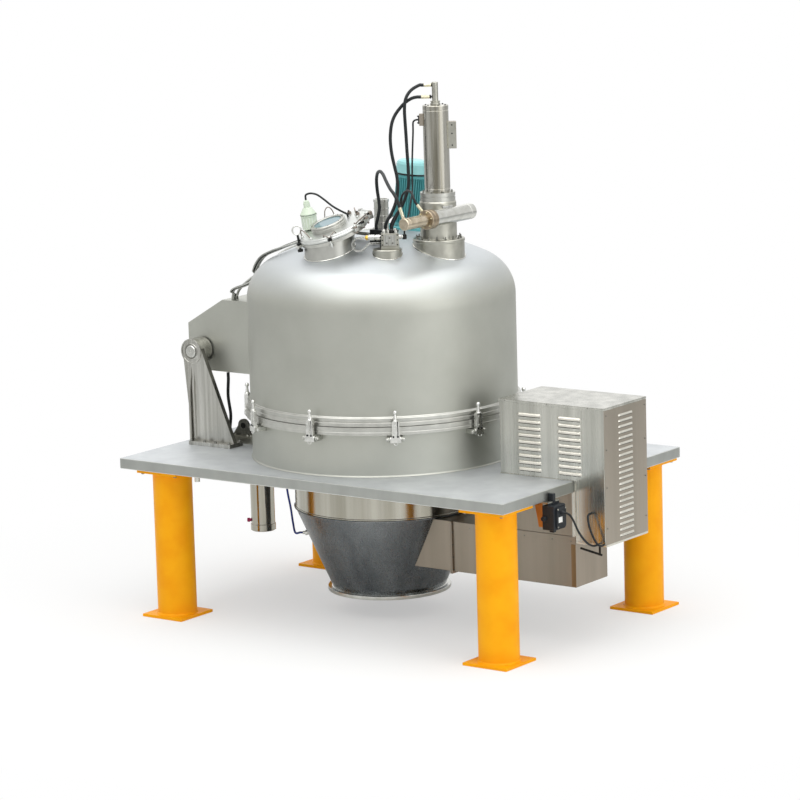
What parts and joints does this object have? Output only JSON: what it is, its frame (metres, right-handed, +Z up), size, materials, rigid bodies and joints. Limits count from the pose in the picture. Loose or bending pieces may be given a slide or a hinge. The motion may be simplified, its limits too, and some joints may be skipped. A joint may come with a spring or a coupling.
{
  "type": "industrial centrifuge",
  "caption": "Bottom-discharge basket centrifuge on a deck plate with painted columns, a tilting domed cover, swing clamps, scraper unit and guarded belt drive.",
  "frame": {"origin": "on the floor, at the middle of the machine's outline", "axes": "+X along the deck plate from the cover hinge to the drive, +Y to the back, +Z up"},
  "size_m": [2.814, 1.74, 2.9802],
  "materials": {
    "deck_steel": "satin stainless steel",
    "column_paint": "gloss yellow-orange paint on steel",
    "casing_steel": "satin stainless steel",
    "cone_steel": "dark brushed stainless steel",
    "guard_steel": "brushed stainless sheet",
    "switch_case": "matt black plastic",
    "glass_ring": "polished steel ring with a glass",
    "lamp_paint": "pale green enamel",
    "motor_paint": "teal machine enamel",
    "block_steel": "dark grey enamel",
    "cap_plastic": "magenta plastic cap",
    "clamp_steel": "polished stainless steel",
    "hose_rubber": "matt black rubber",
    "conduit_steel": "galvanised flexible conduit",
    "clear_tube": "clear plastic tube",
    "blue_hose": "blue polyurethane tube"
  },
  "bodies": {
    "base": {"deck_plate": "deck_steel", "column_front_hinge": "column_paint", "column_front_drive": "column_paint", "column_back_hinge": "column_paint", "column_back_drive": "column_paint", "lower_casing": "casing_steel", "outlet_skirt": "casing_steel", "outlet_cone": "cone_steel", "bearing_housing": "casing_steel", "basket": "casing_steel", "belt_guard": "guard_steel", "motor_guard": "guard_steel", "hinge_bracket_front": "casing_steel", "hinge_bracket_back": "casing_steel", "hinge_pin": "casing_steel", "lift_cylinder": "casing_steel", "pivot_lug": "casing_steel", "vibration_switch": "switch_case", "plate_fitting": "casing_steel", "port_cap": "cap_plastic", "drain_stub": "casing_steel", "hose_arm": "hose_rubber", "hose_drain": "blue_hose", "cable_switch": "hose_rubber", "cable_guard": "hose_rubber"},
    "cover": {"cover_shell": "casing_steel", "cover_ring": "casing_steel", "cover_arm": "casing_steel", "manhole_neck": "casing_steel", "vent_nozzle": "casing_steel", "sensor_stand": "casing_steel", "scraper_base": "casing_steel", "scraper_cylinder": "casing_steel", "position_switch": "casing_steel", "rotary_cylinder": "casing_steel", "cover_motor": "motor_paint", "saddle_block": "block_steel", "hose_ram_upper": "hose_rubber", "hose_ram_lower": "hose_rubber", "hose_rotary_end": "hose_rubber", "hose_rotary_ring": "hose_rubber", "hose_harness": "hose_rubber", "tube_sensor": "clear_tube", "cable_ram": "hose_rubber", "cable_motor": "conduit_steel"},
    "lid": {"manhole_lid": "casing_steel", "sight_glass": "glass_ring", "sight_lamp": "lamp_paint", "cable_lamp": "hose_rubber"},
    "clamp_1": {"clamp_1": "clamp_steel"},
    "clamp_2": {"clamp_2": "clamp_steel"},
    "clamp_3": {"clamp_3": "clamp_steel"},
    "clamp_4": {"clamp_4": "clamp_steel"},
    "clamp_5": {"clamp_5": "clamp_steel"},
    "clamp_6": {"clamp_6": "clamp_steel"},
    "clamp_7": {"clamp_7": "clamp_steel"},
    "clamp_8": {"clamp_8": "clamp_steel"},
    "clamp_9": {"clamp_9": "clamp_steel"},
    "clamp_10": {"clamp_10": "clamp_steel"}
  },
  "joints": [
    {"name": "cover_tilt", "type": "hinge", "parent": "base", "child": "cover", "pos_m": [-1.3, 0, 1.43], "axis": [0, -1, 0], "range_deg": [0, 70]},
    {"name": "lid_swing", "type": "hinge", "parent": "cover", "child": "lid", "pos_m": [-0.14054, -0.19143, 2.27218], "axis": [-0.8829, 0.4695, 0], "range_deg": [0, 95]},
    {"name": "clamp_1_swing", "type": "hinge", "parent": "base", "child": "clamp_1", "pos_m": [0.57847, -0.1916, 1.115], "axis": [0.2419, 0.9703, 0], "range_deg": [0, 90]},
    {"name": "clamp_2_swing", "type": "hinge", "parent": "base", "child": "clamp_2", "pos_m": [0.32436, -0.60224, 1.115], "axis": [0.7604, 0.6494, 0], "range_deg": [0, 90]},
    {"name": "clamp_3_swing", "type": "hinge", "parent": "base", "child": "clamp_3", "pos_m": [-0.10721, -0.78766, 1.115], "axis": [0.9945, 0.1045, 0], "range_deg": [0, 90]},
    {"name": "clamp_4_swing", "type": "hinge", "parent": "base", "child": "clamp_4", "pos_m": [-0.56182, -0.69929, 1.115], "axis": [0.8829, -0.4695, 0], "range_deg": [0, 90]},
    {"name": "clamp_5_swing", "type": "hinge", "parent": "base", "child": "clamp_5", "pos_m": [-0.92433, -0.29669, 1.115], "axis": [0.3746, -0.9272, 0], "range_deg": [0, 90]},
    {"name": "clamp_6_swing", "type": "hinge", "parent": "base", "child": "clamp_6", "pos_m": [-0.95847, 0.1916, 1.115], "axis": [-0.2419, -0.9703, 0], "range_deg": [0, 90]},
    {"name": "clamp_7_swing", "type": "hinge", "parent": "base", "child": "clamp_7", "pos_m": [-0.69909, 0.60671, 1.115], "axis": [-0.766, -0.6428, 0], "range_deg": [0, 90]},
    {"name": "clamp_8_swing", "type": "hinge", "parent": "base", "child": "clamp_8", "pos_m": [-0.24525, 0.79007, 1.115], "axis": [-0.9976, -0.0698, 0], "range_deg": [0, 90]},
    {"name": "clamp_9_swing", "type": "hinge", "parent": "base", "child": "clamp_9", "pos_m": [0.2297, 0.67165, 1.115], "axis": [-0.848, 0.5299, 0], "range_deg": [0, 90]},
    {"name": "clamp_10_swing", "type": "hinge", "parent": "base", "child": "clamp_10", "pos_m": [0.54433, 0.29669, 1.115], "axis": [-0.3746, 0.9272, 0], "range_deg": [0, 90]}
  ]
}
